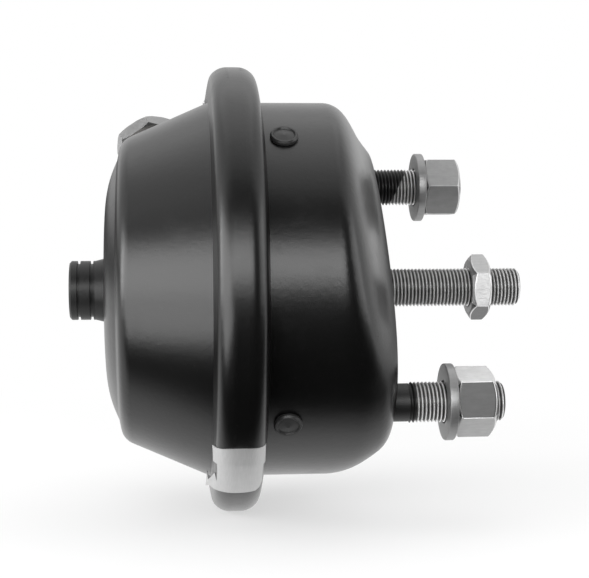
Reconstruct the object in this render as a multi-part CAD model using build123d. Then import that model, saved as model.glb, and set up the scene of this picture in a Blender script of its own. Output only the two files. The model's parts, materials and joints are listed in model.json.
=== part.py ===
from build123d import *
from math import atan2, cos, degrees, hypot, pi, radians, sin, sqrt, tan
import os

# Air brake chamber with two mounting studs, one diaphragm and one clamp ring.
# Millimetres. +X is the way the push rod comes out, +Z is up and +Y points to the back.
# The origin is the centre of the mounting face. Angles "behind the top" turn from +Z towards +Y.

# Clamp plane and pressed sheet
clamp_to_face = 60.0
sheet = 3.0
bead_width = 7.0
flange_width = 8.5
flange_bend_r = 2.5
fit_gap = 0.05
edge_break = 0.8
cut_margin = 1.0

# Non-pressure housing: a drawn cup whose round wall runs into a raised oval pad
cup_r = 76.5
crown_depth = 24.0
pad_half_length = 68.3
pad_half_width = 36.5
pad_end_depth = 15.0
crown_bow = 2.4
crown_stations = 8
outline_points = 40
end_roundness = 1.6

# Pressure housing: cone, shoulder and shallow dome, measured from the clamp plane
cone_step = 1.4
cone_depth = 38.2
cone_taper = 16.8
shoulder_r = 7.5
dome_step = 1.6
shoulder_width = 7.8
dome_rise = 5.0
dome_band = 11.3
dome_blend_r = 45.0

# Clamp ring: a rolled channel, wedge-shaped inside, split once
ring_sheet = 3.0
ring_over_flange = 5.8
ring_lip_drop = 5.5
ring_seat_gap = 0.1
ring_corner_r = 8.0
ring_wedge_angle = 20.0
ring_joint_angle = 45.0
ear_gap = 12.0
ear_thickness = 3.5
ear_width = 17.0
ear_height = 20.2
ear_corner_r = 6.0
clamp_bolt_r = 5.0
clamp_bolt_height = 10.2
clamp_hole_gap = 0.3
clamp_hex = 17.0
clamp_head = 6.4
clamp_nut_height = 8.4
clamp_bolt_spare = 5.0

# Mounting studs, M16 x 1.5, on one line through the centre
stud_circle = 120.65
stud_line_angle = 45.0
stud_shoulder_r = 8.5
stud_shoulder_setback = 0.1
stud_relief_r = 7.5
stud_relief_length = 6.0
stud_grip_end = 16.0
stud_end = 43.6
stud_head_r = 11.0
stud_head_height = 6.0

# Threads: full crest where a mate goes on, running size where the row's own nut turns
thread_r = 8.0
thread_running_r = 7.84
thread_chamfer = 1.4
nut_bore_r = 7.9

# Nuts and washers
nut_hex = 24.0
stud_nut_height = 14.8
jam_nut_height = 8.0
nut_chamfer = 1.6
washer_r = 15.0
washer_bore_r = 8.5
washer_thickness = 3.5
upper_washer_x = 23.4
lower_washer_x = 20.4
upper_nut_angle = -1.6
lower_nut_angle = 20.3
jam_nut_angle = 32.9
jam_nut_x = 39.0

# Stiffener plate and rod guide behind the mounting pad
stiffener_thickness = 5.0
stiffener_end_inset = 2.3
stiffener_side_inset = 6.5
guide_flange_r = 27.0
guide_flange_thickness = 3.0
guide_nose_r = 12.0
rod_clearance = 0.06

# Push rod, push plate, diaphragm and return spring
rod_r = 8.0
rod_end = 60.0
plate_inside_cone = 7.1
plate_rim_run = 4.0
plate_rim_rise = 5.0
plate_thickness = 3.5
plate_bend_r = 4.0
rod_collar_r = 13.0
rod_collar_height = 6.0
rod_collar_taper = 2.0
rod_thread_start = -1.0
rod_thread_step = 0.3
diaphragm_thickness = 3.5
diaphragm_gap = 1.0
diaphragm_floor = 42.5
diaphragm_bead_depth = 7.6
diaphragm_bead_gap = 0.3
diaphragm_bead_bevel = 1.0
diaphragm_bend_r = 7.0
diaphragm_floor_r = 8.0
spring_wire_r = 2.5
spring_inside_plate = 6.0
spring_small_r = 24.0
spring_turns = 6.0

# Centre air port: a short nipple with a push-on cap
port_r = 8.0
port_nipple_r = 10.0
port_nipple_height = 12.7
port_flange_r = 14.0
port_flange_thickness = 2.5
cap_r = 12.1
cap_skirt_r = 13.2
cap_length = 14.8
cap_skirt_length = 4.4
cap_roof = 1.8
cap_groove_depth = 1.2
cap_groove_width = 1.3
cap_rib_pitch = 5.2
cap_clearance = 0.15

# Side air port: a bung in the cone, closed by a hexagon plug on a seal
side_port_depth = 31.5
side_port_angle = 33.0
bung_r = 12.5
bung_height = 6.5
side_seal_r = 12.2
side_seal_thickness = 1.5
side_plug_head = 4.7
side_plug_shank = 8.0
side_plug_angle = -25.0

# Drain plugs round the cup wall
drain_count = 4
drain_first_angle = -38.5
drain_from_clamp = 18.0
drain_hole_r = 4.1
drain_stem_r = 4.0
drain_head_r = 5.4
drain_head_height = 1.7
drain_stem_length = 5.5
drain_rim_width = 1.1
drain_rim_step = 0.5
drain_edge = 0.7
drain_tip_taper = 1.2

# Identification tag wrapped over the ring
tag_angle = -135.0
tag_arc_angle = 11.5
tag_thickness = 0.8

clamp_x = -clamp_to_face
flange_r = cup_r + flange_width
cone_base_r = cup_r + cone_step
cone_tip_r = cone_base_r - cone_taper
dome_base_r = cone_tip_r - shoulder_width
dome_flat_r = dome_base_r - dome_band
flange_out = bead_width / 2 + sheet
ring_slope = tan(radians(ring_wedge_angle))
ring_r = flange_r + ring_over_flange
ring_lip_r = flange_r - ring_lip_drop
ring_inner_half = flange_out + ring_seat_gap
ring_crown_half = ring_inner_half + ring_sheet * hypot(1, ring_slope) - ring_over_flange * ring_slope
ear_face = ear_gap / 2 + ear_thickness
clamp_bolt_radius = ring_r + clamp_bolt_height
stiffener_x = -sheet - stiffener_thickness
guide_x = stiffener_x - guide_flange_thickness
cone_slope = cone_taper / cone_depth
dome_x = clamp_x - flange_out - cone_depth - dome_step - dome_rise
plate_x = clamp_x - diaphragm_floor + diaphragm_thickness
plate_front_x = plate_x + plate_thickness
plate_r = cone_tip_r - plate_inside_cone
plate_flat_r = plate_r - plate_rim_run
spring_large_r = plate_flat_r - spring_inside_plate


def spun(face):
    """The solid that a profile, drawn as (x, radius), makes about the X axis."""
    return revolve(Plane.XY * face, Axis.X)


def profile(*points):
    return make_face(Polyline(*points, close=True))


def pressed(points, radii, thickness):
    """A sheet of one thickness to the left of a contour that runs through (x, radius) points."""
    contour = FilletPolyline(*points, radius=radii)
    return make_face(offset(contour, amount=thickness, side=Side.LEFT))


def behind_top(angle):
    """Turns a piece made at the top, along +Z, to its angle towards the back."""
    return Rot(X=-angle)


def drum(x0, x1, r):
    """A cylinder along X."""
    return Pos(X=(x0 + x1) / 2) * Rot(Y=90) * Cylinder(r, abs(x1 - x0))


def upright(z0, z1, r):
    """A cylinder along Z."""
    return Pos(Z=(z0 + z1) / 2) * Cylinder(r, abs(z1 - z0))


def hexagon(across, height):
    """A hexagon prism on the XY plane, chamfered round both ends."""
    corner = across / sqrt(3)
    prism = extrude(RegularPolygon(across / 2, 6, major_radius=False), height)
    blank = upright(0, height, corner)
    blank = chamfer(blank.edges().filter_by(GeomType.CIRCLE), nut_chamfer / 2, nut_chamfer)
    return prism & blank


def at_stud(side):
    """The stud line crosses the axis: side 1 is the upper stud, side -1 the lower."""
    return behind_top(stud_line_angle) * Pos(Z=side * stud_circle / 2)


# --- housings ---


def crown_half_length(x):
    """Outer half-length of the crown at x: the round wall ends in a quarter ellipse."""
    bend = min(1.0, max(0.0, 1 + x / pad_end_depth))
    return pad_half_length + (cup_r - pad_half_length) * sqrt(1 - bend ** 2)


def crown_half_width(x):
    """Outer half-width of the crown at x: an S from the round wall to the pad's side."""
    share = min(1.0, max(0.0, 1 + x / crown_depth))
    return pad_half_width + (cup_r - pad_half_width) * (1 - share ** crown_bow) ** 2


def inside(radius_at, x):
    """The radius one sheet inside a skin, square to it everywhere."""
    steps = [sheet * sin(radians(angle)) for angle in range(-90, 91, 10)]
    return min(radius_at(x + step) - sqrt(sheet ** 2 - step ** 2) for step in steps if x + step <= 0)


def crown_section(x, half_length, half_width):
    """One closed outline of the crown: a circle drawn out along the stud line."""
    line = (0, sin(radians(stud_line_angle)), cos(radians(stud_line_angle)))
    plane = Plane((x, 0, 0), x_dir=line, z_dir=(1, 0, 0))
    shift = max(0.0, half_length - half_width)
    points = []
    for k in range(outline_points):
        angle = 2 * pi * k / outline_points
        drawn_out = shift * cos(angle) * (end_roundness - (end_roundness - 1) * cos(angle) ** 2)
        points.append((half_width * cos(angle) + drawn_out, half_width * sin(angle)))
    return plane * Face(Wire([Spline(*points, periodic=True)]))


def cup_body(half_length, half_width, depth, mouth_x):
    """The cup filled in: a loft from its round wall to its end, and the wall drawn on to its mouth."""
    stations = [-crown_depth + depth * k / (crown_stations - 1) for k in range(crown_stations)]
    sections = [crown_section(x, half_length(x), half_width(x)) for x in stations]
    return loft(sections) + extrude(sections[0], amount=-crown_depth - mouth_x, dir=(-1, 0, 0))


def nonpressure_housing():
    flange_x = clamp_x + bead_width / 2
    cup = cup_body(crown_half_length, crown_half_width, crown_depth, flange_x)
    cup += drum(flange_x, flange_x + sheet, flange_r)
    cup = fillet(edges_near(cup, flange_x + sheet, cup_r), flange_bend_r)
    cup -= cup_body(
        lambda x: inside(crown_half_length, x),
        lambda x: inside(crown_half_width, x),
        crown_depth - sheet,
        flange_x,
    )
    cup = fillet(edges_near(cup, flange_x, cup_r - sheet), flange_bend_r + sheet)
    cup -= drum(-2 * crown_depth, crown_depth, guide_nose_r + fit_gap)
    for side in (1, -1):
        cup -= at_stud(side) * drum(-crown_depth / 2, crown_depth / 2, stud_shoulder_r + fit_gap)
    for angle in drain_angles():
        hole = upright(cup_r - 2 * sheet, cup_r + sheet, drain_hole_r)
        cup -= behind_top(angle) * Pos(X=clamp_x + drain_from_clamp) * hole
    return cup


def edges_near(solid, x, r):
    """The round edges that lie in the plane at x, at a radius about r."""
    ring = [e for e in solid.edges() if abs(e.center().X - x) < 0.01]
    return [e for e in ring if abs(hypot((e @ 0).Y, (e @ 0).Z) - r) < 0.1]


def cone_radius(depth):
    """Outer radius of the pressure housing's cone at a depth from the clamp plane."""
    return cone_base_r - cone_slope * (depth - flange_out)


def pressure_housing():
    tip_x = clamp_x - flange_out - cone_depth
    shell = [
        (clamp_x - flange_out, flange_r),
        (clamp_x - flange_out, cone_base_r),
        (tip_x, cone_tip_r),
        (tip_x - dome_step, dome_base_r),
        (dome_x, dome_flat_r),
        (dome_x, port_nipple_r + fit_gap),
    ]
    radii = [flange_bend_r, shoulder_r, flange_bend_r, dome_blend_r]
    shell = spun(pressed(shell, radii, sheet))
    return shell - at_side_port() * upright(-3 * sheet, 2 * sheet, bung_r + fit_gap)


# --- clamp ring ---


def ring_contour(lift):
    """The ring's outline across the channel, lifted off its outer face by a distance."""
    half = ring_crown_half + lift * (hypot(1, ring_slope) - ring_slope)
    top = ring_r + lift
    lip = half + (top - ring_lip_r) * ring_slope
    points = [(lip, ring_lip_r), (half, top), (-half, top), (-lip, ring_lip_r)]
    return [(clamp_x + x, r) for x, r in points], ring_corner_r + lift


def clamp_ring():
    points, corner = ring_contour(0)
    channel = spun(pressed(points, [corner, corner], ring_sheet))
    channel -= behind_top(ring_joint_angle) * Pos(X=clamp_x, Z=ring_r) * Box(4 * ear_width, ear_gap, ring_r)
    for side in (1, -1):
        channel += behind_top(ring_joint_angle) * ring_ear(side)
    return channel


def ring_ear(side):
    """A flat ear that closes the channel's cut end and stands out of it, with the bolt hole."""
    foot = flange_r + edge_break
    top = ring_r + ear_height
    middle = side * (ear_face - ear_thickness / 2)
    ear = Pos(clamp_x, middle, (foot + top) / 2) * Box(ear_width, ear_thickness, top - foot)
    ear = fillet(ear.edges().filter_by(Axis.Y).group_by(Axis.Z)[-1], ear_corner_r)
    return ear - clamp_bolt_place() * upright(-2 * ear_face, 2 * ear_face, clamp_bolt_r + clamp_hole_gap)


def clamp_bolt_place():
    """Local +Z runs along the bolt, from its head's side to its nut's side."""
    return Pos(clamp_x, 0, clamp_bolt_radius) * Rot(X=-90)


def clamp_bolt():
    head = Pos(Z=-ear_face - clamp_head) * hexagon(clamp_hex, clamp_head)
    shank = upright(-ear_face, ear_face + clamp_nut_height + clamp_bolt_spare, clamp_bolt_r)
    shank = chamfer(shank.edges().group_by(Axis.Z)[-1], edge_break)
    return behind_top(ring_joint_angle) * clamp_bolt_place() * (head + shank)


def clamp_nut():
    nut_top = ear_face + clamp_nut_height
    nut = Pos(Z=ear_face) * hexagon(clamp_hex, clamp_nut_height)
    nut -= upright(ear_face - cut_margin, nut_top + cut_margin, clamp_bolt_r + fit_gap)
    return behind_top(ring_joint_angle) * clamp_bolt_place() * nut


def identification_tag():
    """A thin strip bent over the ring's back, from lip to lip."""
    points, corner = ring_contour(tag_thickness + fit_gap)
    strip = Plane.XY * pressed(points, [corner, corner], tag_thickness)
    strip = revolve(strip, Axis.X, revolution_arc=tag_arc_angle)
    return Rot(X=90 - tag_angle - tag_arc_angle / 2) * strip


# --- mounting studs, nuts and washers ---


def mounting_stud(side):
    stud = profile(
        (stiffener_x - stud_head_height, 0),
        (stiffener_x - stud_head_height, stud_head_r),
        (stiffener_x, stud_head_r),
        (stiffener_x, stud_shoulder_r),
        (-stud_shoulder_setback, stud_shoulder_r),
        (-stud_shoulder_setback, stud_relief_r),
        (stud_relief_length, stud_relief_r),
        (stud_relief_length, thread_r),
        (stud_grip_end, thread_r),
        (stud_grip_end, thread_running_r),
        (stud_end - thread_chamfer, thread_running_r),
        (stud_end, thread_running_r - thread_chamfer),
        (stud_end, 0),
    )
    return at_stud(side) * spun(stud)


def stud_washer(side, x):
    disc = drum(x, x + washer_thickness, washer_r)
    disc -= drum(x - cut_margin, x + washer_thickness + cut_margin, washer_bore_r)
    return at_stud(side) * disc


def nut(x, height, angle):
    """A hexagon nut on the X axis. Angle 0 has a corner towards the front."""
    blank = Pos(X=x) * Rot(X=angle) * Rot(Y=90) * Rot(Z=30) * hexagon(nut_hex, height)
    return blank - drum(x - cut_margin, x + height + cut_margin, nut_bore_r)


def stiffener_plate():
    length = 2 * (pad_half_length - stiffener_end_inset)
    outline = SlotOverall(length, 2 * (pad_half_width - stiffener_side_inset))
    blank = Rot(Y=90) * extrude(outline, stiffener_thickness)
    plate = behind_top(stud_line_angle) * Pos(X=stiffener_x) * blank
    plate -= drum(stiffener_x - cut_margin, cut_margin, guide_nose_r + fit_gap)
    for side in (1, -1):
        plate -= at_stud(side) * drum(stiffener_x - cut_margin, cut_margin, stud_shoulder_r + fit_gap)
    return plate


def rod_guide():
    guide = profile(
        (guide_x, rod_r + rod_clearance),
        (guide_x, guide_flange_r),
        (stiffener_x, guide_flange_r),
        (stiffener_x, guide_nose_r),
        (-fit_gap, guide_nose_r),
        (-fit_gap, rod_r + rod_clearance),
    )
    return spun(guide)


# --- push rod, diaphragm and spring ---


def push_rod():
    thread_end = jam_nut_x + jam_nut_height + rod_thread_step
    rod = profile(
        (plate_x, 0),
        (plate_x, rod_r),
        (plate_front_x, rod_r),
        (plate_front_x, rod_collar_r),
        (plate_front_x + rod_collar_height, rod_collar_r - rod_collar_taper),
        (plate_front_x + rod_collar_height, rod_r),
        (rod_thread_start, rod_r),
        (rod_thread_start, thread_running_r),
        (thread_end, thread_running_r),
        (thread_end, thread_r),
        (rod_end - thread_chamfer, thread_r),
        (rod_end, thread_r - thread_chamfer),
        (rod_end, 0),
    )
    return spun(rod)


def push_plate():
    disc = [
        (plate_x, rod_r + fit_gap),
        (plate_x, plate_flat_r),
        (plate_x + plate_rim_rise, plate_r),
    ]
    contour = FilletPolyline(*disc, radius=[plate_bend_r])
    return spun(make_face(offset(contour, amount=plate_thickness, side=Side.RIGHT)))


def diaphragm():
    """A rubber cup clamped by its bead, hanging back along the cone to its flat floor."""
    half = diaphragm_thickness / 2
    inset = (sheet + diaphragm_gap + half) * hypot(1, cone_slope)
    middle = diaphragm_floor - half
    rim = flange_r - diaphragm_bead_gap
    web = [
        (clamp_x, rim - half),
        (clamp_x, cone_radius(0) - inset),
        (clamp_x - middle, cone_radius(middle) - inset),
        (clamp_x - middle, 0),
    ]
    line = FilletPolyline(*web, radius=[diaphragm_bend_r, diaphragm_floor_r])
    skin = make_face(offset(line, amount=half, side=Side.LEFT))
    skin += make_face(offset(line, amount=half, side=Side.RIGHT))
    bevel = diaphragm_bead_bevel
    inner = rim - diaphragm_bead_depth
    bead = profile(
        (clamp_x - bead_width / 2, rim),
        (clamp_x + bead_width / 2, rim),
        (clamp_x + bead_width / 2, inner + bevel),
        (clamp_x + bead_width / 2 - bevel, inner),
        (clamp_x - bead_width / 2 + bevel, inner),
        (clamp_x - bead_width / 2, inner + bevel),
    )
    return spun(skin + bead)


def return_spring():
    """A tapered coil, a half turn at a time: large end on the push plate, small end on the guide."""
    start = plate_front_x + spring_wire_r
    length = guide_x - spring_wire_r - start
    taper = degrees(atan2(spring_large_r - spring_small_r, length))
    halves = round(2 * spring_turns)
    rise = length / halves
    narrowing = (spring_large_r - spring_small_r) / halves
    wire = None
    for k in range(halves):
        coil = Helix(2 * rise, rise, spring_large_r - k * narrowing, cone_angle=-taper)
        section = Plane(coil @ 0, z_dir=coil % 0) * Circle(spring_wire_r)
        half = Pos(Z=k * rise) * Rot(Z=180 * k) * sweep(section, path=coil, is_frenet=True)
        wire = half if wire is None else wire + half
    return Pos(X=start) * Rot(Y=90) * wire


# --- air ports ---


def centre_port_boss():
    tip = dome_x - port_nipple_height
    inside = dome_x + sheet
    boss = profile(
        (tip, port_r + edge_break),
        (tip, port_nipple_r - edge_break),
        (tip + edge_break, port_nipple_r),
        (inside, port_nipple_r),
        (inside, port_flange_r),
        (inside + port_flange_thickness, port_flange_r),
        (inside + port_flange_thickness, port_r),
        (tip + edge_break, port_r),
    )
    return spun(boss)


def port_cap():
    """A ribbed push-on cap with a flared skirt."""
    base = dome_x - fit_gap
    end = base - cap_length
    neck = base - cap_skirt_length
    inner = port_nipple_r + cap_clearance
    cap = profile(
        (end, 0),
        (end, cap_r - edge_break),
        (end + edge_break, cap_r),
        (neck, cap_r),
        (base, cap_skirt_r),
        (base, inner),
        (end + cap_roof, inner),
        (end + cap_roof, 0),
    )
    cap = spun(cap)
    for k in (0, 1):
        x = neck - edge_break - k * cap_rib_pitch
        groove = drum(x - cap_groove_width, x, cap_skirt_r)
        cap -= groove - drum(x - 2 * cap_groove_width, x + cap_groove_width, cap_r - cap_groove_depth)
    return cap


def at_side_port():
    """Local +Z runs out of the cone's wall, square to it."""
    tilt = degrees(atan2(cone_slope, 1))
    place = Pos(clamp_x - side_port_depth, 0, cone_radius(side_port_depth))
    return behind_top(side_port_angle) * place * Rot(Y=-tilt)


def side_port_boss():
    bung = upright(-sheet, bung_height, bung_r)
    bung = chamfer(bung.edges().filter_by(GeomType.CIRCLE).group_by(Axis.Z)[-1], edge_break)
    return at_side_port() * (bung - upright(-2 * sheet, bung_height + cut_margin, thread_r + fit_gap))


def side_port_seal():
    top = bung_height + side_seal_thickness
    ring = upright(bung_height, top, side_seal_r)
    ring -= upright(bung_height - cut_margin, top + cut_margin, thread_r + 2 * fit_gap)
    return at_side_port() * ring


def side_port_plug():
    seat = bung_height + side_seal_thickness
    head = Pos(Z=seat) * Rot(Z=side_plug_angle) * hexagon(nut_hex, side_plug_head)
    shank = upright(seat - side_plug_shank, seat, thread_r)
    return at_side_port() * (head + chamfer(shank.edges().group_by(Axis.Z)[0], edge_break))


def drain_angles():
    return [drain_first_angle + k * 360 / drain_count for k in range(drain_count)]


def drain_plug(angle):
    """A snap-in plug: domed head with a raised rim, plain stem, barbed tip."""
    seat = cup_r + fit_gap
    top = seat + drain_head_height
    dish = drain_head_r - drain_rim_width
    outline = profile(
        (0, seat - drain_stem_length),
        (drain_stem_r - edge_break, seat - drain_stem_length),
        (drain_stem_r, seat - drain_stem_length + drain_tip_taper),
        (drain_stem_r, seat),
        (drain_head_r, seat),
        (drain_head_r, top - drain_edge),
        (drain_head_r - drain_rim_step, top),
        (dish, top),
        (dish - drain_rim_step, top - drain_rim_step),
        (0, top),
    )
    plug = revolve(Plane.XZ * outline, Axis.Z)
    return behind_top(angle) * Pos(X=clamp_x + drain_from_clamp) * plug


def pieces():
    """Every piece by the name of its node."""
    made = {
        "pressure_housing": pressure_housing(),
        "nonpressure_housing": nonpressure_housing(),
        "centre_port_boss": centre_port_boss(),
        "side_port_boss": side_port_boss(),
        "stiffener_plate": stiffener_plate(),
        "rod_guide": rod_guide(),
        "upper_mounting_stud": mounting_stud(1),
        "lower_mounting_stud": mounting_stud(-1),
        "clamp_ring": clamp_ring(),
        "clamp_bolt": clamp_bolt(),
        "clamp_nut": clamp_nut(),
        "identification_tag": identification_tag(),
        "diaphragm": diaphragm(),
        "return_spring": return_spring(),
        "push_rod": push_rod(),
        "push_plate": push_plate(),
        "jam_nut": nut(jam_nut_x, jam_nut_height, jam_nut_angle),
        "upper_washer": stud_washer(1, upper_washer_x),
        "lower_washer": stud_washer(-1, lower_washer_x),
        "port_cap": port_cap(),
        "side_port_seal": side_port_seal(),
        "side_port_plug": side_port_plug(),
    }
    for name, side, x, angle in (
        ("upper_nut", 1, upper_washer_x, upper_nut_angle),
        ("lower_nut", -1, lower_washer_x, lower_nut_angle),
    ):
        made[name] = at_stud(side) * nut(x + washer_thickness, stud_nut_height, angle)
    for k, angle in enumerate(drain_angles(), 1):
        made[f"drain_plug_{k}"] = drain_plug(angle)
    return made


os.makedirs("parts", exist_ok=True)
for node, shape in pieces().items():
    export_step(shape, f"parts/{node}.step")
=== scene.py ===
import json
from math import cos, hypot, pi, radians, sin, sqrt, tan

import bmesh
import bpy
from mathutils import Matrix, Vector

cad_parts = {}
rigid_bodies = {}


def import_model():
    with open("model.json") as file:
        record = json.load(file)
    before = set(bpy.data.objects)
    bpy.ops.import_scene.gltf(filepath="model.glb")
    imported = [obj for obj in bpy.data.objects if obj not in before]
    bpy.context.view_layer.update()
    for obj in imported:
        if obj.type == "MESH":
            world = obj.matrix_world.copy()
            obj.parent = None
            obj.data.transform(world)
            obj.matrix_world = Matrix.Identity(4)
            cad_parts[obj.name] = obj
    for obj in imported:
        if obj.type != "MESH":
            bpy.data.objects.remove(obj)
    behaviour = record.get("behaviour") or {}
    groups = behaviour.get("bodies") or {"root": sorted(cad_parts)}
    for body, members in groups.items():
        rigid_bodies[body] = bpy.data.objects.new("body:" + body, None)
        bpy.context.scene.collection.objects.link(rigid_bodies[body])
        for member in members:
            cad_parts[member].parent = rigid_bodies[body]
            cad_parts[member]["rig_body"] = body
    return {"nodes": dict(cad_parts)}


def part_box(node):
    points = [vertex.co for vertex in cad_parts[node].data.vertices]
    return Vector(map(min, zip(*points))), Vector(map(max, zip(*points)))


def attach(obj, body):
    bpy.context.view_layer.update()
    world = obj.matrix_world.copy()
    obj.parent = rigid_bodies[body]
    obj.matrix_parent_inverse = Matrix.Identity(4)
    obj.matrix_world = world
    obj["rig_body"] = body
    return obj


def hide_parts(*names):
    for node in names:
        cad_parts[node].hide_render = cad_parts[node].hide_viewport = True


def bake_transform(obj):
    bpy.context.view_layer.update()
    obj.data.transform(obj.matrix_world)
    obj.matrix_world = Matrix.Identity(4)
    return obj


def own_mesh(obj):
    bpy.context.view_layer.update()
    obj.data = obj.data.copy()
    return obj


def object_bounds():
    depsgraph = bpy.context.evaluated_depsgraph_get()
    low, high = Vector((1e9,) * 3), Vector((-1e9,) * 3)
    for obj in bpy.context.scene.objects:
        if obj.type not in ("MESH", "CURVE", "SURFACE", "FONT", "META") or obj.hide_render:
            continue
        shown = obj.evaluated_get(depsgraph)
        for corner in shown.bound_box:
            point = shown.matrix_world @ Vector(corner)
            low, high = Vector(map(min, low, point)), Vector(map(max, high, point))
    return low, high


# Air brake chamber. Metres. The origin is the centre of the mounting face.
# +X is the way the push rod comes out, +Z is up and +Y points to the back.

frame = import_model()
cad_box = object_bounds()
nodes = frame["nodes"]

MM = 0.001


def low(node):
    """The lowest corner of a CAD node's box."""
    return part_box(node)[0]


def high(node):
    """The highest corner of a CAD node's box."""
    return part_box(node)[1]


def middle(node):
    """The middle of a CAD node's box."""
    return (low(node) + high(node)) / 2


# The clamp ring's middle
clamp_x = middle("clamp_ring").x

# Threads: crest radius, then shares of the pitch for the crest, the flank and the run in
thread_r = 7.95 * MM
thread_pitch = 1.5 * MM
thread_depth = 0.92 * MM
thread_chamfer = 1.3 * MM
thread_rows = 8
thread_sides = 56
crest_land = 0.125
thread_flank = 0.6
run_in = 0.4
shoulder_run = 0.5
# The crest value on plain and end surfaces, between the painted root shade and the painted crest
# highlight
plain_tone = 0.62
thread_seam = 2e-6

# Hexagons: the end face's share of the width across flats, the chamfer and the worn edges
face_share = 0.465
chamfer_slope = 1.732
corner_round = 1.1 * MM
corner_bunching = 0.13
corner_slope = 0.3
corner_wear = 1.1 * MM
rim_wear = 0.7 * MM
rim_share = 0.1
countersink = 0.7 * MM
hex_sides = 144
hex_rows = 132
hex_seam = 2e-5

# A length that counts as none
nothing = 1e-6

# Where the clamp ring is cut, as an angle from +Z towards +Y
ring_joint = radians(45.0)


# --- shader and geometry graphs ---


class Socket:
    """One output of a node graph. Python's operators on it add Math nodes."""

    def __init__(self, graph, output):
        self.graph = graph
        self.output = output

    def maths(self, operation, *values):
        return self.graph.maths(operation, *values)

    def __add__(self, other):
        return self.maths("ADD", self, other)

    def __radd__(self, other):
        return self.maths("ADD", other, self)

    def __sub__(self, other):
        return self.maths("SUBTRACT", self, other)

    def __rsub__(self, other):
        return self.maths("SUBTRACT", other, self)

    def __mul__(self, other):
        return self.maths("MULTIPLY", self, other)

    def __rmul__(self, other):
        return self.maths("MULTIPLY", other, self)

    def __truediv__(self, other):
        return self.maths("DIVIDE", self, other)

    def __pow__(self, other):
        return self.maths("POWER", self, other)

    def __gt__(self, other):
        return self.maths("GREATER_THAN", self, other)

    def __lt__(self, other):
        return self.maths("LESS_THAN", self, other)

    def __abs__(self):
        return self.maths("ABSOLUTE", self)

    def least(self, other):
        return self.maths("MINIMUM", self, other)

    def most(self, other):
        return self.maths("MAXIMUM", self, other)

    def within(self, lowest, highest):
        return self.most(lowest).least(highest)

    def fraction(self):
        return self.maths("FRACT", self)


class Graph:
    """A node tree that is being built."""

    def __init__(self, tree):
        self.tree = tree

    def node(self, kind, settings=None, inputs=None, output=0):
        """Adds a node: settings first, then the values or links of its sockets."""
        made = self.tree.nodes.new(kind)
        for name, value in (settings or {}).items():
            if name == "stops":
                self.set_stops(made.color_ramp, value)
            else:
                setattr(made, name, value)
        for name, value in (inputs or {}).items():
            if isinstance(value, Socket):
                self.tree.links.new(value.output, made.inputs[name])
            else:
                made.inputs[name].default_value = value
        return Socket(self, made.outputs[output])

    def maths(self, operation, *values):
        """A Math node on these values."""
        return self.node("ShaderNodeMath", {"operation": operation}, dict(enumerate(values)))

    @staticmethod
    def set_stops(ramp, stops):
        """Sets a ramp's stops, each a place and a grey."""
        while len(ramp.elements) < len(stops):
            ramp.elements.new(1.0)
        for element, (place, value) in zip(ramp.elements, stops):
            element.position = place
            element.color = (value, value, value, 1.0)


# --- materials ---


class Finish(Graph):
    """A material on one Principled shader, with the patterns that the finishes share."""

    def __init__(self, name):
        self.material = bpy.data.materials.new(name)
        self.material.use_nodes = True
        self.material.node_tree.nodes.clear()
        super().__init__(self.material.node_tree)
        self.place = self.node("ShaderNodeTexCoord", output="Object")

    def noise(self, size, detail=3.0, roughness=0.5, stretch=(1, 1, 1)):
        """Cloudy noise from 0 to 1 whose features are about size metres across."""
        place = self.node("ShaderNodeMapping", {}, {"Vector": self.place, "Scale": stretch})
        return self.node("ShaderNodeTexNoise", {}, {
            "Vector": place, "Scale": 1 / size, "Detail": detail, "Roughness": roughness,
        })

    def steps(self, value, low_at, high_at):
        """0 below low_at, 1 above high_at, smooth between."""
        return self.node("ShaderNodeMapRange", {"interpolation_type": "SMOOTHSTEP"}, {
            "Value": value, "From Min": low_at, "From Max": high_at,
        })

    def mixed(self, share, first, second):
        """Two colours mixed by a share."""
        return self.node("ShaderNodeMix", {"data_type": "RGBA"}, {
            0: share, 6: first, 7: second,
        }, output=2)

    def bump(self, height, distance):
        """Relief whose highest places stand a distance above its lowest."""
        return self.node("ShaderNodeBump", {}, {
            "Height": height, "Distance": distance, "Strength": 1.0,
        })

    def attribute(self, name):
        """A value that a shape keeps at each point."""
        return self.node("ShaderNodeAttribute", {"attribute_name": name}, output="Fac")

    def along(self, axis):
        """The Object coordinate along X, Y or Z."""
        return self.node("ShaderNodeSeparateXYZ", {}, {0: self.place}, output=axis)

    def finished(self, **sockets):
        """The material, with these values and links on its shader."""
        names = {name.replace("_", " "): value for name, value in sockets.items()}
        shader = self.node("ShaderNodeBsdfPrincipled", {}, names)
        self.show(shader)
        return self.material

    def show(self, shader):
        """Makes a shader the material's surface."""
        out = self.tree.nodes.new("ShaderNodeOutputMaterial")
        self.tree.links.new(shader.output, out.inputs["Surface"])


def grey(level, warmth=0.0):
    """A grey of a level, a little warmer or colder where warmth isn't 0."""
    return (level * (1 + warmth), level, level * (1 - warmth), 1.0)


def black_paint():
    """Satin black paint on pressed steel, with orange peel, fine grain and a few dull patches."""
    f = Finish("black_paint")
    cloud = f.noise(30.0 * MM, detail=4.0)
    dull = f.steps(f.noise(12.0 * MM, detail=5.0, roughness=0.65), 0.52, 0.75)
    peel = f.noise(2.2 * MM, detail=2.0)
    grain = f.noise(0.5 * MM, detail=2.0, roughness=0.6)
    specks = f.steps(f.noise(0.9 * MM, detail=1.0), 0.70, 0.78)
    colour = f.mixed(cloud, grey(0.0014), grey(0.0024))
    colour = f.mixed(specks * 0.6, colour, grey(0.012))
    return f.finished(
        Base_Color=colour,
        Roughness=0.245 + 0.04 * cloud + 0.05 * grain + 0.05 * dull,
        IOR=1.5,
        Normal=f.bump(peel * 0.6 + grain * 0.4, 0.06 * MM),
    )


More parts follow.
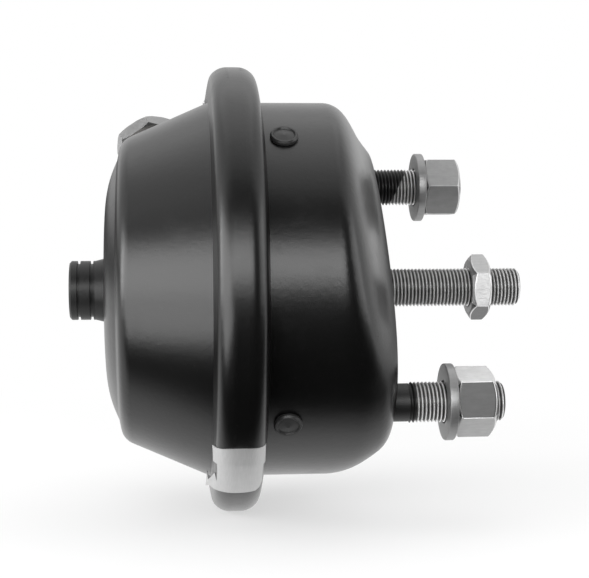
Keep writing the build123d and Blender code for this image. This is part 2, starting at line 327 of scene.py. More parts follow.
def zinc_steel(name, level, facet_light_tones=(1.0,)):
    """Dull grey zinc on forged steel, brighter along worn edges. Each side facet is lightened or
    darkened by its own painted light and shade.
    """
    f = Finish(name)
    cloud = f.noise(4.0 * MM, detail=5.0, roughness=0.6)
    grain = f.noise(0.5 * MM, detail=3.0, roughness=0.6)
    drawn = f.noise(1.1 * MM, detail=4.0, roughness=0.7, stretch=(0.18, 1.0, 1.0))
    wear = f.steps(f.attribute("wear") + 0.35 * grain - 0.2, 0.25, 0.8)
    # Painted light and shade: one brightness per side facet, with the end faces left as they are
    stops = [(k / len(facet_light_tones), tone) for k, tone in enumerate(facet_light_tones)]
    facet = f.node("ShaderNodeValToRGB", {"stops": stops}, {"Fac": f.attribute("facet")})
    facet.output.node.color_ramp.interpolation = "CONSTANT"
    tone = f.mixed(f.attribute("side"), grey(1.0), facet)
    field = level * (0.80 + 0.30 * cloud + 0.30 * (drawn - 0.5))
    shaded = f.node("ShaderNodeVectorMath", {"operation": "SCALE"}, {0: tone, "Scale": field})
    colour = f.mixed(wear, shaded, grey(0.74))
    return f.finished(
        Base_Color=colour,
        Metallic=0.80,
        Roughness=0.38 + 0.12 * cloud - 0.12 * wear,
        Normal=f.bump(grain * 0.5 + drawn * 0.5, 0.06 * MM),
    )


paint_edge = 0.4 * MM


def thread_steel(name, painted=None):
    """Rolled thread in dull zinc, with painted shade in its roots and a painted highlight on its
    crests.

    painted is where paint over the bar ends: its place along X, how ragged and slanted the end
    is, and the height at which that place holds.
    """
    f = Finish(name)
    grain = f.noise(0.6 * MM, detail=3.0)
    cloud = f.noise(5.0 * MM, detail=3.0)
    # Painted highlight: the crests are made lighter. Painted shade: the roots are made darker.
    crest = f.steps(f.attribute("crest") + 0.20 * grain - 0.10, 0.50, 0.90)
    root = 1 - f.steps(f.attribute("crest"), 0.05, 0.50)
    colour = f.mixed(crest, grey(0.30, 0.01), grey(0.78))
    colour = f.mixed(root, colour, grey(0.035, 0.02))
    metal = 0.65 - 0.25 * cloud
    roughness = 0.40 - 0.10 * crest
    if painted:
        end, ragged, slant, middle_z = painted
        edge = f.along("X") - slant * (f.along("Z") - middle_z)
        edge = edge + ragged * (f.noise(6.0 * MM, detail=3.0) - 0.5)
        paint = 1 - f.steps(edge, end - paint_edge, end + paint_edge)
        colour = f.mixed(paint, colour, grey(0.004))
        metal = metal * (1 - paint)
        roughness = roughness + 0.10 * paint
    return f.finished(
        Base_Color=colour,
        Metallic=metal,
        Roughness=roughness,
        Normal=f.bump(grain, 0.04 * MM),
    )


def plug_steel():
    """Bright zinc on the port plug, lightly brushed."""
    f = Finish("plug_steel")
    cloud = f.noise(6.0 * MM, detail=4.0)
    grain = f.noise(0.4 * MM, detail=2.0)
    wear = f.steps(f.attribute("wear") + 0.3 * grain - 0.15, 0.3, 0.8)
    colour = f.mixed(cloud, grey(0.25), grey(0.36))
    colour = f.mixed(wear, colour, grey(0.60))
    return f.finished(
        Base_Color=colour,
        Metallic=0.85,
        Roughness=0.30 + 0.10 * cloud,
        Normal=f.bump(grain, 0.04 * MM),
    )


def spring_steel():
    """Dark oiled spring wire."""
    f = Finish("spring_steel")
    cloud = f.noise(5.0 * MM, detail=3.0)
    grain = f.noise(0.6 * MM)
    return f.finished(
        Base_Color=f.mixed(cloud, grey(0.05), grey(0.11)),
        Metallic=0.85,
        Roughness=0.38 + 0.10 * cloud,
        Normal=f.bump(grain, 0.05 * MM),
    )


def tag_aluminium():
    """Bare rolled aluminium, with fine rolling lines round the strip and soft dents."""
    f = Finish("tag_aluminium")
    lines = f.noise(2.5 * MM, detail=4.0, roughness=0.7, stretch=(6.0, 0.5, 0.5))
    dents = f.noise(6.0 * MM, detail=2.0)
    return f.finished(
        Base_Color=f.mixed(lines, grey(0.36), grey(0.50)),
        Metallic=0.6,
        Roughness=0.34 + 0.14 * lines,
        Normal=f.bump(dents * 0.8 + lines * 0.2, 0.22 * MM),
    )


def diaphragm_rubber():
    """Black rubber with the weave of its fabric just showing."""
    f = Finish("diaphragm_rubber")
    weave = f.noise(1.2 * MM, detail=1.0)
    cloud = f.noise(12.0 * MM)
    return f.finished(
        Base_Color=f.mixed(cloud, grey(0.018), grey(0.035)),
        Roughness=0.62 + 0.15 * cloud,
        Normal=f.bump(weave, 0.1 * MM),
    )


def black_plastic(name, level, shine):
    """Moulded black plastic."""
    f = Finish(name)
    cloud = f.noise(6.0 * MM, detail=3.0)
    grain = f.noise(0.4 * MM, detail=2.0)
    return f.finished(
        Base_Color=f.mixed(cloud, grey(level), grey(level * 1.5)),
        Roughness=shine + 0.08 * cloud,
        Specular_IOR_Level=0.3,
        Normal=f.bump(grain, 0.03 * MM),
    )


def seal_fibre():
    """Dark pressed fibre."""
    f = Finish("seal_fibre")
    grain = f.noise(0.8 * MM, detail=4.0)
    return f.finished(
        Base_Color=f.mixed(grain, grey(0.03, 0.05), grey(0.07, 0.05)),
        Roughness=0.7 + 0.1 * grain,
        Normal=f.bump(grain, 0.08 * MM),
    )


paint = black_paint()
zinc = zinc_steel("zinc_steel", 0.30)
washer_zinc = zinc_steel("washer_zinc", 0.28)
# Each nut gets its own copy of the zinc, with painted light and shade on its six side facets set
# for how it is turned
lit_nut_zinc = {
    "upper_nut": zinc_steel("upper_nut_zinc", 0.37, facet_light_tones=(1.0, 1.1, 1.02, 0.70, 0.9, 1.0)),
    "lower_nut": zinc_steel("lower_nut_zinc", 0.37, facet_light_tones=(1.0, 1.75, 0.25, 1.05, 1.0, 0.9)),
    "jam_nut": zinc_steel("jam_nut_zinc", 0.37, facet_light_tones=(0.9, 1.08, 2.45, 0.45, 0.8, 0.9)),
}
bare_thread = thread_steel("thread_steel")
plug_zinc = plug_steel()
spring_black = spring_steel()
aluminium = tag_aluminium()
rubber = diaphragm_rubber()
cap_plastic = black_plastic("cap_plastic", 0.007, 0.36)
plug_plastic = black_plastic("plug_plastic", 0.016, 0.30)
guide_plastic = black_plastic("guide_plastic", 0.020, 0.45)
fibre = seal_fibre()


def dress(material, *names):
    """Gives CAD nodes a material in all their slots."""
    for name in names:
        piece = nodes[name]
        if not piece.material_slots:
            piece.data.materials.append(material)
        for slot in piece.material_slots:
            slot.material = material


dress(paint, "pressure_housing", "nonpressure_housing", "centre_port_boss", "side_port_boss")
dress(paint, "clamp_ring", "stiffener_plate", "push_plate")
dress(zinc, "upper_washer", "lower_washer", "upper_nut", "lower_nut", "jam_nut")
dress(zinc, "clamp_bolt", "clamp_nut")
dress(bare_thread, "upper_mounting_stud", "lower_mounting_stud", "push_rod")
dress(plug_zinc, "side_port_plug")
dress(spring_black, "return_spring")
dress(aluminium, "identification_tag")
dress(rubber, "diaphragm")
dress(guide_plastic, "rod_guide")
dress(cap_plastic, "port_cap")
dress(plug_plastic, *[f"drain_plug_{k}" for k in range(1, 5)])
dress(fibre, "side_port_seal")


# --- objects ---


def linked(name, data):
    """A new object at the origin that shows a mesh, a lamp or the camera."""
    made = bpy.data.objects.new(name, data)
    bpy.context.scene.collection.objects.link(made)
    return made


def shade(piece, sharp=35.0):
    """Smooth shading with edges sharper than an angle kept."""
    mesh = piece.data
    mesh.polygons.foreach_set("use_smooth", [True] * len(mesh.polygons))
    mesh.set_sharp_from_angle(angle=radians(sharp))


# --- shapes that follow a rule ---


class Shape(Graph):
    """A Geometry Nodes tree with named sizes that makes one closed piece."""

    def __init__(self, name, *sizes):
        super().__init__(bpy.data.node_groups.new(name, "GeometryNodeTree"))
        sockets = self.tree.interface
        sockets.new_socket("Geometry", in_out="OUTPUT", socket_type="NodeSocketGeometry")
        sockets.new_socket("Material", in_out="INPUT", socket_type="NodeSocketMaterial")
        for size in sizes:
            sockets.new_socket(size, in_out="INPUT", socket_type="NodeSocketFloat")
        self.given = self.tree.nodes.new("NodeGroupInput")

    def size(self, name):
        """One of the sizes that the shape is given."""
        return Socket(self, self.given.outputs[name])

    def grid(self, sides, rows):
        """A unit grid: its mesh, and the shares of the way round it and along it."""
        mesh = self.node("GeometryNodeMeshGrid", {}, {
            "Size X": 1.0, "Size Y": 1.0, "Vertices X": sides + 1, "Vertices Y": rows,
        })
        place = self.node("GeometryNodeInputPosition")
        around = self.node("ShaderNodeSeparateXYZ", {}, {0: place}, output="X") + 0.5
        along = self.node("ShaderNodeSeparateXYZ", {}, {0: place}, output="Y") + 0.5
        return mesh, around, along

    def turned(self, mesh, x, radius, around, seam):
        """Sets every point at x, at a radius and at its share of the turn about the X axis."""
        angle = 2 * pi * around
        y = radius * self.maths("COSINE", angle)
        z = radius * self.maths("SINE", angle)
        place = self.node("ShaderNodeCombineXYZ", {}, {"X": x, "Y": y, "Z": z})
        mesh = self.node("GeometryNodeSetPosition", {}, {"Geometry": mesh, "Position": place})
        return self.node("GeometryNodeMergeByDistance", {}, {"Geometry": mesh, "Distance": seam})

    def stored(self, mesh, name, value):
        """Keeps a value at each point, for the materials to read."""
        settings = {"data_type": "FLOAT", "domain": "POINT"}
        return self.node("GeometryNodeStoreNamedAttribute", settings, {
            "Geometry": mesh, "Name": name, "Value": value,
        })

    def finish(self, mesh):
        """Ends the tree with this mesh in the given material."""
        mesh = self.node("GeometryNodeRealizeInstances", {}, {"Geometry": mesh})
        mesh = self.node("GeometryNodeSetMaterial", {}, {
            "Geometry": mesh, "Material": self.size("Material"),
        })
        out = self.tree.nodes.new("NodeGroupOutput")
        self.tree.links.new(mesh.output, out.inputs["Geometry"])
        return self


def threaded_bar():
    """A bar with a rolled thread between two places on it. Its rows follow the helix."""
    s = Shape(
        "threaded_bar", "Length", "Thread Start", "Thread End", "Crest", "Depth", "Pitch", "Neck",
        "Chamfer",
    )
    length, crest, pitch, neck = map(s.size, ("Length", "Crest", "Pitch", "Neck"))
    start, end, chamfer = map(s.size, ("Thread Start", "Thread End", "Chamfer"))
    step = pitch / thread_rows
    rim = crest.most(neck)
    rows = s.maths("CEIL", (length + 2 * (rim + pitch)) / step)
    mesh, around, share = s.grid(thread_sides, rows)
    row = s.maths("ROUND", share * (rows - 1))
    along = (row - s.maths("CEIL", (rim + pitch) / step)) * step
    swept = along + pitch * around
    x = swept.within(0.0, length)
    wave = abs((row / thread_rows).fraction() - 0.5) * 2
    dip = ((wave - crest_land) / thread_flank).within(0.0, 1.0)
    fade = ((x - start) / (run_in * pitch)).within(0.0, 1.0)
    fade = fade * ((end - x) / pitch).within(0.0, 1.0)
    blank = neck + (crest - neck) * ((x - start) / (shoulder_run * pitch)).within(0.0, 1.0)
    radius = blank - s.size("Depth") * dip * fade
    radius = radius.least(crest - chamfer + (length - x))
    # Rows past either end draw in towards the axis and close it
    over = (0 - swept).most(0.0) + (swept - length).most(0.0)
    radius = (radius - over).most(0.0)
    plain = (over > nothing).most(x < start)
    # The crest value gives the thread's painted highlight on crests and painted shade in roots;
    # plain and end surfaces get plain_tone
    mesh = s.stored(mesh, "crest", plain * plain_tone + (1 - plain) * (1 - dip * fade))
    return s.finish(s.turned(mesh, x, radius, around, thread_seam))


def hexagon_piece():
    """A nut, or a head where its bore is 0, chamfered at both ends and worn at its edges."""
    s = Shape("hexagon_piece", "Across", "Height", "Bore", "Countersink", "Round")
    across, height, bore, sink = map(s.size, ("Across", "Height", "Bore", "Countersink"))
    mesh, around, share = s.grid(hex_sides, hex_rows)
    face_r = across * face_share
    mouth = bore + sink
    wide = face_r - mouth
    hollow = bore > nothing
    # The rows travel out over the foot, up the sides, in over the top and down the bore
    travel = share * (2 * wide + height + (2 * sink + height) * hollow)
    on_bore = travel - 2 * wide - height
    x = (travel - wide).within(0.0, height) - on_bore.within(0.0, height) * hollow
    sector = (around * 6).fraction()
    whole = s.maths("FLOOR", around * 6)
    bunched = sector - corner_bunching * s.maths("SINE", 2 * pi * sector)
    off_middle = (bunched - 0.5) * (pi / 3)
    flat = across * 0.5 / s.maths("COSINE", off_middle)
    cone = face_r + x.least(height - x) * chamfer_slope
    side = s.maths("SMOOTH_MIN", flat, cone, s.size("Round"))
    face = mouth + travel.within(0.0, wide) - (travel - wide - height).within(0.0, wide)
    outside = travel < 2 * wide + height
    lead = (sink - x).most(sink - (height - x)).within(0.0, sink)
    radius = outside * (face + side - face_r) + (1 - outside) * (bore + lead)
    corner = (1 - abs(sector - 0.5) * 2) * across * corner_slope
    worn_corner = (1 - corner / corner_wear).within(0.0, 1.0)
    worn_rim = (1 - abs(flat - cone) / rim_wear).within(0.0, 1.0)
    on_side = (travel > wide * (1 - rim_share)) * (travel < wide * (1 + rim_share) + height)
    mesh = s.stored(mesh, "wear", worn_corner.most(worn_rim) * on_side)
    mesh = s.stored(mesh, "side", on_side)
    # The facet number picks each side's painted light and shade in the zinc
    mesh = s.stored(mesh, "facet", (whole + 0.5) / 6)
    return s.finish(s.turned(mesh, x, radius.most(0.0), (whole + bunched) / 6, hex_seam))


def coil_spring():
    """A tapered coil of round wire that stands on the XY plane."""
    s = Shape("coil_spring", "Turns", "Large", "Small", "Height", "Wire")
    line = s.node("GeometryNodeCurveSpiral", {}, {
        "Resolution": 64, "Rotations": s.size("Turns"), "Start Radius": s.size("Large"),
        "End Radius": s.size("Small"), "Height": s.size("Height"), "Reverse": False,
    })
    ring = s.node("GeometryNodeCurvePrimitiveCircle", {}, {
        "Resolution": 16, "Radius": s.size("Wire"),
    })
    mesh = s.node("GeometryNodeCurveToMesh", {}, {
        "Curve": line, "Profile Curve": ring, "Fill Caps": True,
    })
    return s.finish(mesh)


def grown(name, shape, material, sharp=35.0, **sizes):
    """The plain mesh that a shape makes with these sizes."""
    piece = linked(name, bpy.data.meshes.new(name))
    modifier = piece.modifiers.new("grow", "NODES")
    modifier.node_group = shape.tree
    wanted = {size.replace("_", " "): value for size, value in sizes.items()}
    wanted["Material"] = material
    for socket in shape.tree.interface.items_tree:
        if socket.in_out == "INPUT":
            modifier[socket.identifier] = wanted[socket.name]
    whole = bpy.context.evaluated_depsgraph_get()
    made = bpy.data.meshes.new_from_object(piece.evaluated_get(whole), depsgraph=whole)
    piece.modifiers.clear()
    piece.data = made
    shade(piece, sharp)
    return piece


# --- shapes that are drawn ---


def new_piece(name, points, faces, material):
    """A closed piece from points and faces, with its doubles merged and its faces outwards."""
    mesh = bpy.data.meshes.new(name)
    mesh.from_pydata(points, [], faces)
    mesh.materials.append(material)
    mesh.validate()
    piece = linked(name, mesh)
    merged = bmesh.new()
    merged.from_mesh(mesh)
    bmesh.ops.remove_doubles(merged, verts=merged.verts, dist=1e-7)
    bmesh.ops.recalc_face_normals(merged, faces=merged.faces)
    merged.to_mesh(mesh)
    merged.free()
    shade(piece)
    return piece


def rounded(points, radii, steps=4):
    """A closed outline's points, its corners rounded by arcs. A radius of 0 keeps one sharp."""
    outline = []
    for k, (point, radius) in enumerate(zip(points, radii)):
        here = Vector(point)
        if radius == 0:
            outline.append(here)
            continue
        to_last = (Vector(points[k - 1]) - here).normalized()
        to_next = (Vector(points[(k + 1) % len(points)]) - here).normalized()
        half = to_last.angle(to_next) / 2
        centre = here + (to_last + to_next).normalized() * (radius / sin(half))
        first = here + to_last * (radius / tan(half)) - centre
        last = here + to_next * (radius / tan(half)) - centre
        sweep = -first.angle_signed(last)
        for step in range(steps + 1):
            outline.append(centre + Matrix.Rotation(sweep * step / steps, 2) @ first)
    return outline


def lathe(name, outline, material, sides):
    """A closed outline of (x, radius) points turned about the X axis."""
    points = []
    for k in range(sides):
        angle = 2 * pi * k / sides
        points += [(x, r * cos(angle), r * sin(angle)) for x, r in outline]
    count = len(outline)
    faces = []
    for k in range(sides):
        here, follow = k * count, (k + 1) % sides * count
        for j in range(count):
            beside = (j + 1) % count
            faces.append((here + j, here + beside, follow + beside, follow + j))
    return new_piece(name, points, faces, material)


def place(piece, origin, axis, across):
    """Moves a mesh made along +X to its origin, with its own +Y towards across."""
    axis = Vector(axis).normalized()
    across = (Vector(across) - axis * axis.dot(Vector(across))).normalized()
    turn = Matrix((axis, across, axis.cross(across))).transposed().to_4x4()
    piece.data.transform(Matrix.Translation(Vector(origin)) @ turn)


def stands_for(piece, node):
    """The piece takes a CAD node's place: its body and its room."""
    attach(piece, nodes[node]["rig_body"])
    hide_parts(node)


# --- studs, rod and nuts ---

bar_shape = threaded_bar()
hex_shape = hexagon_piece()
spring_shape = coil_spring()

# Studs: where each thread starts, and where the paint over it ends, how ragged and how slanted
stud_neck_r = 7.45 * MM
stud_thread_start = {"upper": 1.0 * MM, "lower": 6.0 * MM}
stud_paint = {"upper": (15.8 * MM, 4.0 * MM, 0.52), "lower": (8.6 * MM, 2.0 * MM, 0.0)}

# Push rod
rod_r = 8.0 * MM
rod_plain = 99.0 * MM

# Nuts, turned from +Y towards +Z. The stud nuts are a little taller than their solids.
nut_across = 24.0 * MM
nut_bore_r = 7.9 * MM
stud_nut_height = 15.6 * MM
nut_angles = {
    "upper_nut": radians(-1.6), "lower_nut": radians(20.3), "jam_nut": radians(32.9),
}

# Washers
washer_hole_r = 8.5 * MM
washer_edge = 0.5 * MM
washer_sides = 96

# The bolt that closes the clamp ring
clamp_across = 17.0 * MM
clamp_head = 6.4 * MM
clamp_nut_height = 8.4 * MM
clamp_bore_r = 5.05 * MM
clamp_bolt_r = 4.97 * MM
clamp_grip = 19.0 * MM
clamp_bare = 12.0 * MM
clamp_spare = 5.0 * MM
inside_head = 1.0 * MM


def bar(name, material, length, start, crest, neck):
    """A bar along +X from the origin, threaded from start to its far end."""
    return grown(
        name, bar_shape, material, sharp=50.0,
        Length=length, Thread_Start=start, Thread_End=length + thread_pitch, Crest=crest,
        Depth=thread_depth, Pitch=thread_pitch, Neck=neck, Chamfer=thread_chamfer,
    )


def mounting_stud(side):
    """A stud with its thread, and with the paint that reaches over it."""
    node = f"{side}_mounting_stud"
    start, end = low(node).x, high(node).x
    thread_start = stud_thread_start[side] - start
    steel = thread_steel(f"{side}_stud_steel", (*stud_paint[side], middle(f"{side}_nut").z))
    stud = bar(node + "_thread", steel, end - start, thread_start, thread_r, stud_neck_r)
    place(stud, (start, middle(node).y, middle(node).z), (1, 0, 0), (0, 1, 0))
    stands_for(stud, node)


def push_rod():
    """The rod, plain up to its threaded end."""
    start, end = low("push_rod").x, high("push_rod").x
    rod = bar("push_rod_thread", bare_thread, end - start, rod_plain, thread_r, rod_r)
    place(rod, (start, 0, 0), (1, 0, 0), (0, 1, 0))
    stands_for(rod, "push_rod")


def hexagon(node, material, foot, axis, corner, height, across, bore=0.0):
    """A nut or head that stands on its foot along an axis, with one corner turned to a side."""
    piece = grown(
        node + "_hexagon", hex_shape, material, sharp=28.0,
        Across=across, Height=height, Bore=bore, Countersink=countersink if bore else 0.0,
        Round=corner_round,
    )
    place(piece, foot, axis, corner)
    stands_for(piece, node)


def nuts():
    """The stud nuts and the jam nut, each turned as it stands."""
    for node, angle in nut_angles.items():
        foot = (low(node).x, middle(node).y, middle(node).z)
        height = high(node).x - low(node).x if node == "jam_nut" else stud_nut_height
        corner = (0, cos(angle), sin(angle))
        hexagon(node, lit_nut_zinc[node], foot, (1, 0, 0), corner, height, nut_across, nut_bore_r)


def clamp_joint():
    """The bolt and nut that close the ring. The bolt runs from its head towards the nut."""
    along = Vector((0.0, cos(ring_joint), -sin(ring_joint)))
    nut_foot = middle("clamp_nut") - along * (clamp_nut_height / 2)
    head_face = nut_foot - along * clamp_grip
    head_foot = head_face - along * clamp_head
    corner = (1, 0, 0)
    hexagon(
        "clamp_nut", zinc, nut_foot, along, corner, clamp_nut_height, clamp_across, clamp_bore_r,
    )
    hexagon("clamp_bolt", zinc, head_foot, along, corner, clamp_head, clamp_across)
    length = inside_head + clamp_grip + clamp_nut_height + clamp_spare
    shank = bar(
        "clamp_bolt_thread", bare_thread, length, clamp_bare, clamp_bolt_r, clamp_bolt_r,
    )
    place(shank, head_face - along * inside_head, along, corner)
    stands_for(shank, "clamp_bolt")


def washer(node):
    """A flat washer whose outer edges are rounded."""
    x0, x1 = low(node).x, high(node).x
    outer = (high(node).z - low(node).z) / 2
    corners = [(x0, washer_hole_r), (x0, outer), (x1, outer), (x1, washer_hole_r)]
    outline = rounded(corners, [0, washer_edge, washer_edge, 0])
    ring = lathe(node + "_ring", outline, washer_zinc, washer_sides)
    ring.data.transform(Matrix.Translation((0, middle(node).y, middle(node).z)))
    stands_for(ring, node)


mounting_stud("upper")
mounting_stud("lower")
push_rod()
nuts()
clamp_joint()
washer("upper_washer")
washer("lower_washer")


# --- spring and diaphragm ---

spring_turns = 6.0
spring_large = 44.0 * MM
spring_small = 24.0 * MM
spring_wire_r = 2.5 * MM
spring_slimmer = 0.97


def return_spring():
    """The coil, made to fill the CAD spring's length."""
    start, end = low("return_spring").x, high("return_spring").x
    length = end - start - 2 * spring_wire_r
    coil = grown(
        "return_spring_coil", spring_shape, spring_black,
        Turns=spring_turns, Large=spring_large, Small=spring_small, Height=length,
        Wire=spring_wire_r * spring_slimmer,
    )
    lying = Matrix.Rotation(radians(90), 4, "Y")
    coil.data.transform(Matrix.Translation((start + spring_wire_r, 0, 0)) @ lying)
    stands_for(coil, "return_spring")
    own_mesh(coil)


def dress_diaphragm():
    """The CAD skin between the clamp and the push plate, copied with its doubles merged and
    smooth shading, in place of the CAD node.
    """
    skin = linked("diaphragm_skin", nodes["diaphragm"].data.copy())
    merged = bmesh.new()
    merged.from_mesh(skin.data)
    bmesh.ops.remove_doubles(merged, verts=merged.verts, dist=1e-6)
    merged.to_mesh(skin.data)
    merged.free()
    shade(skin)
    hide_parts("diaphragm")
    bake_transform(skin)


return_spring()
dress_diaphragm()


# --- clamp ring and its tag ---

# The ring's rounded contour
ring_top = 90.8 * MM
ring_corner = 8.0 * MM
ring_flat = 1.33 * MM
ring_bend = radians(76.9)

# Its lips are drawn in by a share of their distance from the middle, below a radius
lip_narrower = 0.126
lip_from = 88.0 * MM
lip_depth = 8.5 * MM

# The tag's outline in millimetres: distance across the ring from its middle, and height
tag_outline = (
    (-14.0, -54.7), (-11.5, -55.1), (-8.0, -55.1), (-1.2, -54.7), (6.0, -54.8), (8.8, -54.5),
    (10.6, -53.8), (10.8, -61.6), (9.2, -62.3), (9.4, -70.3), (8.2, -72.9), (6.2, -74.3),
    (-0.3, -74.7), (-7.4, -74.7), (-15.2, -75.4), (-17.4, -78.0), (-17.5, -68.0),
    (-16.2, -72.2), (-11.2, -66.7), (-9.4, -70.2), (-9.6, -62.0), (-12.8, -61.5),
)
tag_span = ((-18.0 * MM, 13.0 * MM), (-79.0 * MM, -53.0 * MM))
tag_cut = 0.75 * MM
tag_sheet = 0.35 * MM
tag_lift = 0.25 * MM
tag_flare = 0.8 * MM
flare_from = 9.0 * MM
flare_width = 7.0 * MM
fold_height = -62.0 * MM
fold_width = 2.0 * MM
fold_lift = 0.12 * MM


def dress_ring():
    """The CAD ring with its lips drawn in a little, as a piece that stands for it."""
    ring = linked("clamp_ring_channel", nodes["clamp_ring"].data.copy())
    for corner in ring.data.vertices:
        deep = (lip_from - hypot(corner.co.y, corner.co.z)) / lip_depth
        share = lip_narrower * min(max(deep, 0.0), 1.0)
        corner.co.x -= (corner.co.x - clamp_x) * share
    stands_for(ring, "clamp_ring")


def ring_point(across, lift):
    """The ring's contour as (x, radius), at a distance along it from its middle."""
    flat = min(abs(across), ring_flat)
    turn = min(max((abs(across) - ring_flat) / ring_corner, 0.0), ring_bend)
    rest = max(abs(across) - ring_flat - ring_corner * ring_bend, 0.0)
    x = flat + (ring_corner + lift) * sin(turn) + rest * cos(ring_bend)
    r = ring_top - ring_corner + (ring_corner + lift) * cos(turn) - rest * sin(ring_bend)
    return (x if across > 0 else -x), r


def identification_tag():
    """A strip of sheet bent round the ring, with its torn and folded corner."""
    made = bmesh.new()
    made.faces.new([made.verts.new((x * MM, z * MM, 0.0)) for x, z in tag_outline])
    for (first, last), way in zip(tag_span, (Vector((1, 0, 0)), Vector((0, 1, 0)))):
        for k in range(1, round((last - first) / tag_cut)):
            parts = made.verts[:] + made.edges[:] + made.faces[:]
            cut = way * (first + k * tag_cut)
            bmesh.ops.bisect_plane(made, geom=parts, plane_co=cut, plane_no=way)
    for point in made.verts:
        across, height = point.co.x, point.co.y
        flare = max(abs(across) - flare_from, 0.0) / flare_width
        fold = max(0.0, 1 - abs(height - fold_height) / fold_width) * fold_lift
        x, r = ring_point(across, tag_lift + tag_flare * flare ** 2 + fold)
        point.co = (clamp_x + x, -sqrt(r * r - height * height), height)
    bmesh.ops.recalc_face_normals(made, faces=made.faces)
    bmesh.ops.solidify(made, geom=made.faces[:], thickness=tag_sheet)
    mesh = bpy.data.meshes.new("tag_strip")
    made.to_mesh(mesh)
    made.free()
    mesh.materials.append(aluminium)
    strip = linked("tag_strip", mesh)
    shade(strip, 40.0)
    stands_for(strip, "identification_tag")


dress_ring()
identification_tag()


# --- camera, floor and light ---

camera_place = Vector((-87.67, -592.0, 29.7)) * MM
camera_forward = Vector((0.0903, 0.9947, -0.0502))
camera_roll = radians(-0.24)
camera_lens = 87.54

part_middle = (-0.06, 0.0, 0.0)

# Soft lamps: place, aim, width, height and radiance
lamps = {
    "front_strip": ((-0.06, -1.25, 0.37), part_middle, 1.2, 0.52, 5.6),
    "left_box": ((-1.15, -0.70, 0.16), part_middle, 1.5, 0.9, 5.2),
    "left_edge": ((-1.36, -0.03, 0.20), (-0.06, 0.0, 0.10), 0.14, 0.56, 9.0),
    "left_low": ((-0.50, -0.40, -0.09), (-0.50, -0.40, 1.0), 0.62, 0.5, 4.2),
    "right_box": ((1.25, -0.36, 0.25), part_middle, 0.8, 0.8, 2.0),
    "top_box": ((-0.06, 0.35, 1.3), part_middle, 1.6, 1.2, 0.5),
}

# The studio has a dark side in front and below, and a low dark gap at the back left
dark_way = Vector((0.0, -0.93, -0.37))
dark_edge = (-0.05, 0.30)
dark_share = 0.992
gap_way = Vector((-0.50, 0.86, 0.0))
gap_edge = (0.70, 0.90)
gap_share = 0.95
gap_top = 0.05
gap_top_fade = 0.09
gap_foot = -0.25
gap_foot_fade = 0.20

# The floor: its shadow's share and reach, and what it mirrors in front and behind
floor_size = 6.0
floor_gap = 0.2 * MM
shadow_share = 0.45
shadow_reach = (0.12, 0.42)
mirror_front = 0.008
mirror_back = 1.1
mirror_edge = (-0.085, -0.045)


def looking(point, way):
    """The place of a camera or lamp that stands at a point and looks along a way."""
    return Matrix.Translation(point) @ way.to_track_quat("-Z", "Y").to_matrix().to_4x4()


def make_camera():
    """A long lens in front of the part, a little above its axis."""
    data = bpy.data.cameras.new("camera")
    data.lens = camera_lens
    data.sensor_width = 36.0
    data.clip_start = 0.01
    camera = linked("camera", data)
    level = looking(camera_place, camera_forward)
    camera.matrix_world = level @ Matrix.Rotation(camera_roll, 4, "Z")
    bpy.context.scene.camera = camera


def soft_lamp(name, point, aim, width, height, radiance):
    """An area lamp with a given radiance, seen by the object only."""
    data = bpy.data.lights.new(name, "AREA")
    data.shape = "RECTANGLE"
    data.size = width
    data.size_y = height
    data.energy = radiance * pi * width * height
    lamp = linked(name, data)
    lamp.matrix_world = looking(Vector(point), Vector(aim) - Vector(point))
    lamp.visible_camera = False


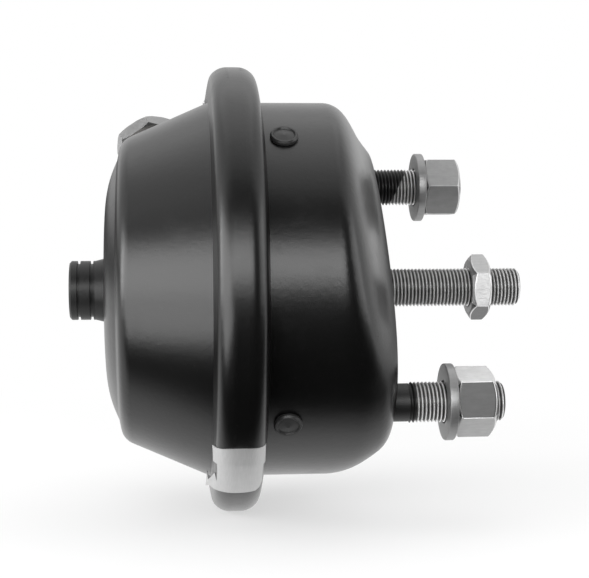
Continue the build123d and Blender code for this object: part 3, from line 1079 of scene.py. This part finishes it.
def make_world():
    """A white studio to the camera. The object also mirrors its dark side and its dark gap."""
    world = bpy.data.worlds.new("studio")
    world.use_nodes = True
    bpy.context.scene.world = world
    world.node_tree.nodes.clear()
    g = Graph(world.node_tree)
    way = g.node("ShaderNodeTexCoord", output="Generated")

    def towards(direction, edge):
        facing = g.node("ShaderNodeVectorMath", {"operation": "DOT_PRODUCT"}, {
            0: way, 1: direction,
        }, output="Value")
        return g.node("ShaderNodeMapRange", {"interpolation_type": "SMOOTHSTEP"}, {
            "Value": facing, "From Min": edge[0], "From Max": edge[1],
        })

    dark = towards(dark_way, dark_edge)
    gap = towards(gap_way, gap_edge)
    rise = g.node("ShaderNodeSeparateXYZ", {}, {0: way}, output="Z")
    above = ((rise - gap_top) / gap_top_fade).within(0.0, 1.0)
    below = ((gap_foot - rise) / gap_foot_fade).within(0.0, 1.0)
    gap = gap * (1.0 - above) * (1.0 - below)
    level = (1.0 - dark_share * dark) * (1.0 - gap_share * gap)
    seen = g.node("ShaderNodeLightPath", output="Is Camera Ray")
    level = seen + (1 - seen) * level
    background = g.node("ShaderNodeBackground", {}, {"Color": grey(1.0), "Strength": level})
    out = world.node_tree.nodes.new("ShaderNodeOutputWorld")
    world.node_tree.links.new(background.output, out.inputs["Surface"])


def floor_paper():
    """White paper that fades to pure white away from the object, and keeps its shadow."""
    f = Finish("floor_paper")
    x = f.along("X") - clamp_x
    y = f.along("Y")
    away = (x * x + y * y) ** 0.5
    near = shadow_share * (1 - f.steps(away, *shadow_reach))
    mirror = mirror_front + mirror_back * f.steps(y, *mirror_edge)
    camera_ray = f.node("ShaderNodeLightPath", output="Is Camera Ray")
    glossy_ray = f.node("ShaderNodeLightPath", output="Is Glossy Ray")
    paper = f.node("ShaderNodeBsdfDiffuse", {}, {"Color": grey(0.86)})
    white = f.node("ShaderNodeEmission", {}, {"Color": grey(1.0), "Strength": 1.0})
    mirrored = f.node("ShaderNodeEmission", {}, {"Color": grey(1.0), "Strength": mirror})
    seen = f.node("ShaderNodeMixShader", {}, {0: (1 - near) * camera_ray, 1: paper, 2: white})
    f.show(f.node("ShaderNodeMixShader", {}, {0: glossy_ray, 1: seen, 2: mirrored}))
    return f.material


def make_floor():
    """A wide sheet of paper just below the part."""
    half = floor_size / 2
    level = cad_box[0][2] - floor_gap
    mesh = bpy.data.meshes.new("floor")
    corners = [(x * half, y * half, level) for x, y in ((-1, -1), (1, -1), (1, 1), (-1, 1))]
    mesh.from_pydata(corners, [], [(0, 1, 2, 3)])
    mesh.materials.append(floor_paper())
    linked("floor", mesh)


make_camera()
make_world()
make_floor()
for name, lamp in lamps.items():
    soft_lamp(name, *lamp)

bpy.context.scene.view_settings.view_transform = "Standard"
